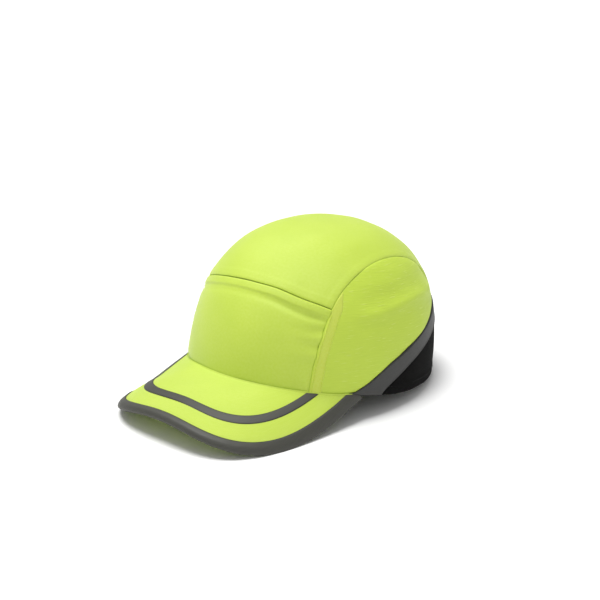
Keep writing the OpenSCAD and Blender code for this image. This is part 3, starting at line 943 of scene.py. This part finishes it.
def front_stiffener(look):
    """Stiffening cloth behind the front panel, bent inwards behind the panel's long fold."""
    s, t = np.meshgrid(fine(80), fine(60))
    u = mix(-STIFFENER_SPAN, STIFFENER_SPAN, s)
    z = mix(rim_z(u) + 2, front_seam(u) - 7, t)
    dip = 1.5 * hill(z, front_seam(u) - 9.3, 3.4)
    lining_tape("front_stiffener_cloth", crown(u, z, LINING_INSET + dip), look, "stiffener_fabric")


def side_tape_line(s):
    """Along the side seam, then along the seam beside the crown panel."""
    corner, last = 0.4, 138
    z = mix(rim_z(SEAM_LOW) + 4, 66, np.minimum(1, s / corner))
    u = mix(SEAM_TOP + 0.6, last, np.maximum(0, (s - corner) / (1 - corner)))
    return np.where((s < corner)[:, None], crown(side_seam(z), z), crown(u, crown_seam_z(u)))


def seam_tapes(look):
    s, t = np.meshgrid(np.linspace(0, 1, 120), fine(8))
    u = mix(-FRONT_TAPE_SPAN, FRONT_TAPE_SPAN, s)
    base = settle(crown(u, front_seam(u) + mix(-5.5, 5.5, t), LINING_INSET), LINING_INSET)
    lining_tape("seam_tape_front_tape", base, look, "black_fabric")
    line = side_tape_line(np.linspace(0, 1, 140))
    along = np.gradient(line, axis=0)
    out = line - EYE
    across = np.cross(out, along)
    across /= np.linalg.norm(across, axis=1, keepdims=True)
    rows = np.array([onto_crown(line + 5 * k * across, SIDE_TAPE_INSET) for k in mix(-1, 1, fine(8))])
    for side, base in (("left", rows), ("right", mirrored(rows))):
        lining_tape(f"seam_tape_{side}_tape", settle(base, SIDE_TAPE_INSET), look, "black_fabric")


def sweatband(look, thread):
    span = 180 - ARCH_ANGLE - 10
    s, t = np.meshgrid(np.linspace(0, 1, 300), np.linspace(0, 1, 34))
    u = mix(-span, span, s)
    base = crown(u, rim_z(u) + mix(1, 30, t), 2.1)
    top = reach(base)[3]
    plump = np.sqrt(1 - (1 - np.minimum(to_border(base) / 4, 1)) ** 2)
    depth = 0.5 + 1.3 * plump + 0.15 * drift(base, 14, 91) - 0.5 * hill(top, 4, 0.8)
    band = cloth("sweatband_towelling", base, 0, depth, look, "towelling")
    row = crown_line(-span + 2, span - 2, lambda u: rim_z(u) + 26, -3.75, 900)
    stitches("sweatband_stitches", [row], thread)


def care_label(look):
    s, t = np.meshgrid(fine(30), fine(30))
    base = crown(mix(118, 138, s), mix(6, 27, t), 4.1)
    left, right, low, _ = reach(base)
    curl = -0.5 * np.exp(-low / 4) - 0.25 * np.exp(-np.minimum(left, right) / 3)
    cloth("care_label_cloth", base, curl, 0.3, look, "label_fabric")


# ------------------------------------------------------------------ rear strap

def on_strap(angle, radius):
    """Plan points on a circle round the strap's axis, at an angle from the back to the wearer's left."""
    a = np.radians(angle)
    return np.stack([radius * np.sin(a), STRAP_Y + radius * np.cos(a)], -1)


def at_wire(angle, local, radius):
    """Plan points round the ring's wire at angle, local degrees from the strap's own direction."""
    a = np.radians(angle)
    b = np.radians(local) - a
    return on_strap(angle, BAR_RADIUS) + np.stack([radius * np.cos(b), radius * np.sin(b)], -1)


def ribbon(name, path, thickness, margin, material, slot, body="cap", hem=0):
    """Webbing that follows a plan path, which runs to the right as seen from its outer face. margin is
    how far it stays in from the strap's borders, and hem the extra thickness of its left end."""
    z = STRAP_LOW + margin + (STRAP_HEIGHT - 2 * margin) * fine(24)
    base = np.stack([np.column_stack([path, np.full(len(path), h)]) for h in z])
    left, right, below, above = reach(base)
    round_off = 0.3 * thickness * np.exp(-np.minimum(below, above) / 0.45)
    round_off = round_off + 0.12 * thickness * np.exp(-np.minimum(left, right) / 0.4)
    extra = hem * smooth((6.2 - left) / 0.8)
    return cloth(name, base, thickness / 2 - round_off + extra, thickness - 2 * round_off + extra, material,
                 slot, body=body)


def strap(webbing, loop, hook, plastic, thread):
    wrap_radius = LOOP_BORE + WEBBING / 2
    base_radius, tail_radius = STRAP_RADIUS + WEBBING / 2, BAR_RADIUS + LOOP_BORE + WEBBING / 2
    tail_start = BAR_ANGLE + 0.3
    arc = on_strap(np.linspace(STRAP_ANCHOR, BAR_ANGLE + 1.2, 160), base_radius)
    ribbon("strap_base_webbing", arc, WEBBING, 0, webbing, "webbing")
    patch = on_strap(np.linspace(27.5, BAR_ANGLE + 4, 150), STRAP_RADIUS + WEBBING + 0.6)
    ribbon("loop_patch_pile", patch, 1.1, 1, loop, "loop_tape")

    turned = at_wire(KEEPER_ANGLE, np.linspace(268, 452, 40), wrap_radius)
    inner = on_strap(np.linspace(-STRAP_ANCHOR, KEEPER_ANGLE - 0.9, 40), base_radius)
    outer = on_strap(np.linspace(KEEPER_ANGLE - 1.2, -30.2, 14), BAR_RADIUS + wrap_radius)
    keeper = np.concatenate([inner, turned, outer])[::-1]
    ribbon("buckle_keeper_webbing", keeper, WEBBING * 0.95, 1, webbing, "webbing")

    wrap_path = at_wire(BAR_ANGLE, np.linspace(90, 270, 60), wrap_radius)
    wrapped = ribbon("strap_fold_webbing", wrap_path, WEBBING, 0, webbing, "webbing", body=None)
    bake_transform(wrapped)

    tail = on_strap(np.linspace(TAIL_END, tail_start, 140), tail_radius)
    end = ribbon("strap_tail_webbing", tail, WEBBING, 0, webbing, "webbing", body=None, hem=0.5)
    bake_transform(end)

    hook_patch(hook)
    strap_stitches(thread, tail_radius + WEBBING / 2 + 0.5, BAR_RADIUS + wrap_radius + WEBBING / 2)
    buckle_ring(plastic)


def level_line(start, finish, radius, height, count):
    """Points on the strap's circle between two angles, at one height."""
    return np.column_stack([on_strap(np.linspace(start, finish, count), radius), np.full(count, height)])


def upright_line(angle, radius, margin):
    """Points up the strap at one angle, margin in from its borders."""
    heights = np.linspace(STRAP_LOW + margin, STRAP_LOW + STRAP_HEIGHT - margin, 12)
    return np.column_stack([np.tile(on_strap(angle, radius), (12, 1)), heights])


def hook_patch(look):
    radius = BAR_RADIUS + LOOP_BORE - 0.7
    patch = on_strap(np.linspace(TAIL_END - 2, BAR_ANGLE + 6, 100), radius + 0.3)
    ribbon("hook_patch_tape", patch, 0.6, 1, look, "hook_tape", body="strap_end")
    rows = [level_line(TAIL_END - 2.5, BAR_ANGLE + 6.5, radius - 0.25, height, 40)
            for height in np.arange(STRAP_LOW + 2, STRAP_LOW + STRAP_HEIGHT - 1.5, 1.1)]
    stitches("hook_patch_hooks", rows, look, body="strap_end", pitch=1.0, length=0.5, thick=0.28)


def strap_stitches(thread, tail_face, keeper_face):
    """A sewn box at the free end's tip, and two rows across the ring's webbing."""
    box = [level_line(TAIL_END - 0.6, TAIL_END - 3.6, tail_face, height, 12)
           for height in (STRAP_LOW + 2, STRAP_LOW + STRAP_HEIGHT - 2)]
    box += [upright_line(angle, tail_face, 2) for angle in (TAIL_END - 0.8, TAIL_END - 3.4)]
    stitches("strap_tail_stitches", box, thread, body="strap_end", pitch=2.2, length=1.6)
    rows = [upright_line(angle, keeper_face, 2.5) for angle in (-28.4, -29.6)]
    stitches("buckle_keeper_stitches", rows, thread, pitch=2.2, length=1.6)


def buckle_ring(look):
    """A round wire bent into a rectangle with round corners, swept along its own path."""
    start, finish = on_strap(KEEPER_ANGLE, BAR_RADIUS), on_strap(BAR_ANGLE, BAR_RADIUS)
    length = np.linalg.norm(finish - start)
    heading = np.append((finish - start) / length, 0)
    up, corner, r = np.array([0, 0, 1.0]), 1.8, RING_WIRE / 2
    out = np.cross(heading, up)
    height = STRAP_HEIGHT + 1 + RING_WIRE
    half = np.array([length / 2, height / 2])
    path = []
    for sx, sz, first in ((1, 1, 90), (1, -1, 0), (-1, -1, -90), (-1, 1, -180)):
        for w in np.radians(np.linspace(first, first - 90, 9)):
            path.append([sx * (half[0] - corner) + corner * np.cos(w),
                         sz * (half[1] - corner) + corner * np.sin(w)])
    path = np.array(path)
    ahead = np.roll(path, -1, 0) - np.roll(path, 1, 0)
    ahead /= np.linalg.norm(ahead, axis=1, keepdims=True)
    middle = np.append((start + finish) / 2, STRAP_LOW + STRAP_HEIGHT / 2)
    sides = 20
    points, faces = [], []
    for (x, z), (dx, dz) in zip(path, ahead):
        side = dz * heading - dx * up
        for k in range(sides):
            w = 2 * PI * k / sides
            points.append(middle + x * heading + z * up + r * (np.cos(w) * side + np.sin(w) * out))
    n = len(path)
    for i in range(n):
        for k in range(sides):
            a, b = i * sides + k, i * sides + (k + 1) % sides
            c, d = (i + 1) % n * sides + (k + 1) % sides, (i + 1) % n * sides + k
            faces.append((d, c, b, a))
    return finish_piece(mesh_object("buckle_ring_wire", np.array(points), faces), look,
                        "cap", "buckle_ring")


# ------------------------------------------------------------------ protective insert

def shell_low_z(u):
    a = np.abs(wrap(u))
    return 36 + 17 * smooth((a - 38) / 38) - 3 * smooth((a - 115) / 45)


def bump_shell(look):
    """The moulded shell. Whole cells of a coarse grid are left out as vents, and subdivision rounds them."""
    cols, rows = 60, 11
    u, t = np.meshgrid(np.linspace(0, 360, cols + 1), np.linspace(0, 1, rows + 1))
    m = wall_power(u)
    low = np.arcsin((shell_low_z(u) / CROWN_HEIGHT) ** (m / 2))
    z = CROWN_HEIGHT * np.sin(mix(low, np.radians(88.6), t)) ** (2 / m)
    outer, inner = crown(u, z, SHELL_INSET), crown(u, z, SHELL_INSET + SHELL_WALL)
    rib = np.isin(np.arange(cols + 1) % 5, (1, 2)) * 0.6
    outer = outer + normals(outer, True) * (rib * bump(t, 0.1, 0.92, 0.1))[..., None]

    def keep(i, j):
        return not ((j % 5 == 4 and 3 <= i <= 5) or (j % 10 == 6 and 7 <= i <= 8))

    shell = solid_sheet("bump_shell_moulding", outer, inner, look, "shell_plastic", body="insert",
                        ring=True, keep=keep)
    shell.modifiers.new("rounding", "SUBSURF").levels = 2
    shell.modifiers["rounding"].render_levels = 2
    return shell


def pad(name, base, look):
    """A foam pad with rounded borders and pressed channels, on a grid that lies on the shell."""
    left, right, _, _ = reach(base)
    side = to_border(base)
    swell = np.sqrt(np.clip(1 - (1 - np.minimum(side / 3.5, 1)) ** 2, 0, 1))
    channel = sum(hill(left, g * (left + right), 1.5) for g in (0.33, 0.67))
    channel = channel * bump(side, 3, 200, 3)
    depth = 0.8 + (PAD_THICK - 1.0) * swell + 0.12 * drift(base, 18, 95) - 1.6 * channel
    return cloth(f"{name}_foam", base, 0, depth, look, "foam", body="insert")


def pads(look):
    inset = SHELL_INSET + SHELL_WALL + 0.3
    spans = {"pad_front": (-30, 30, 46, 70), "pad_left": (62, 118, 60, 82), "pad_right": (-118, -62, 60, 82),
             "pad_rear": (152, 208, 56, 80)}
    s, t = np.meshgrid(fine(70, 0.5), fine(40, 0.5))
    for name, (u0, u1, z0, z1) in spans.items():
        pad(name, crown(mix(u0, u1, s), mix(z0, z1, t), inset), look)
    s, t = np.meshgrid(fine(60, 0.5), fine(70, 0.5))
    flat = np.stack([mix(-26, 26, s), mix(-34, 44, t), np.full(s.shape, CROWN_HEIGHT)], -1)
    pad("pad_crown", onto_crown(flat, inset), look)


# ------------------------------------------------------------------ floor, light and camera

def make_floor():
    bpy.ops.mesh.primitive_plane_add(size=12)
    floor = bpy.context.object
    floor.name = "floor"
    look = Look("floor_white", (0.95, 0.95, 0.945), 0.9)
    floor.data.materials.append(look.mat)


def make_light(name, place_m, aim_m, size, power):
    data = bpy.data.lights.new(name, "AREA")
    data.shape, data.size, data.energy = "DISK", size, power
    lamp = bpy.data.objects.new(name, data)
    lamp.location = place_m
    lamp.rotation_mode = "QUATERNION"
    lamp.rotation_quaternion = (Vector(aim_m) - Vector(place_m)).to_track_quat("-Z", "Y")
    bpy.context.collection.objects.link(lamp)


def make_world(strength):
    world = bpy.data.worlds.new("studio")
    world.use_nodes = True
    background = world.node_tree.nodes["Background"]
    background.inputs["Color"].default_value = (1, 1, 1, 1)
    background.inputs["Strength"].default_value = strength
    bpy.context.scene.world = world


def make_camera():
    azimuth, elevation, roll_angle = math.radians(43.58), math.radians(20.81), math.radians(-0.51)
    distance, lens = 1.6, 125.1
    target = Vector(ORIGIN) + Vector((0, 0, 0.05))
    back = Vector((math.sin(azimuth) * math.cos(elevation), -math.cos(azimuth) * math.cos(elevation),
                   math.sin(elevation)))
    data = bpy.data.cameras.new("camera")
    data.lens, data.sensor_width = lens, 36
    data.shift_x, data.shift_y = -0.0210, 0.0072
    camera = bpy.data.objects.new("camera", data)
    camera.location = target + back * distance
    camera.rotation_mode = "QUATERNION"
    camera.rotation_quaternion = ((-back).to_track_quat("-Z", "Y").to_matrix()
                                  @ Matrix.Rotation(roll_angle, 3, "Z")).to_quaternion()
    bpy.context.collection.objects.link(camera)
    bpy.context.scene.camera = camera


make_camera()
make_world(0.5)
middle = ORIGIN + np.array([0, 0, 0.05])
make_light("key", middle + [-0.6, -0.25, 3.4], middle, size=2.2, power=130)
make_light("fill", middle + [1.2, -1.0, 0.7], middle, size=1.2, power=1.2)
make_floor()
bpy.context.scene.view_settings.view_transform = "Standard"

lime, slub, black = smooth_lime(), slub_lime(), black_cloth()
# The brim's tapes get a lighter copy of the tape than the band, lit and shaded copies of one material; its
# lower blue is a painted greenish reflection of the lime cloth.
tape = reflective("reflective_tape", shade=0.046, blue=0.82)
front_panel(lime)
crown_panel(lime)
strip = strip_lime()
for side, flip in (("left", False), ("right", True)):
    side_panel(slub, f"side_panel_{side}", flip)
    seam_strip(strip, f"seam_strip_{side}", flip)
# The band's copy is darker than the brim's, a painted shade for the band's sides that face away from the
# light.
reflective_band(reflective("reflective_band_tape", shade=0.030, blue=0.95))
rear_panel(black)
arch_binding(black)
brim_cover(lime, "brim_top_cover", False)
brim_cover(lime, "brim_bottom_cover", True)
brim_edging(tape)
brim_stripe(tape)
brim_board(plastic_look("brim_board", (0.70, 0.70, 0.68), 0.6, 0.00003))

black_thread = plain_cloth("black_thread", (0.02, 0.02, 0.02), 0.4, 0.00003)
grey_thread = plain_cloth("grey_thread", (0.075, 0.075, 0.070), 0.4, 0.00003)
lime_thread = plain_cloth("lime_thread", (0.55, 0.72, 0.05), 0.4, 0.00003)
front_stiffener(plain_cloth("stiffener_cloth", (0.62, 0.62, 0.59), 1.3, 0.0002))
seam_tapes(black)
sweatband(pile_look("towelling", (0.020, 0.020, 0.020), 1.4, 0.0006), black_thread)
care_label(plain_cloth("label_cloth", (0.78, 0.78, 0.76), 0.5, 0.00003))
crown_stitches(lime_thread, grey_thread, black_thread)
brim_stitches(grey_thread)
strap(webbing_look(), pile_look("loop_pile", (0.016, 0.016, 0.016), 1.8, 0.0005),
      pile_look("hook_base", (0.022, 0.022, 0.022), 2.0, 0.0003),
      plastic_look("ring_plastic", (0.012, 0.012, 0.012), 0.32, 0.00001), black_thread)
bump_shell(plastic_look("shell_plastic", (0.020, 0.020, 0.022), 0.45, 0.00005))
pads(foam_look())
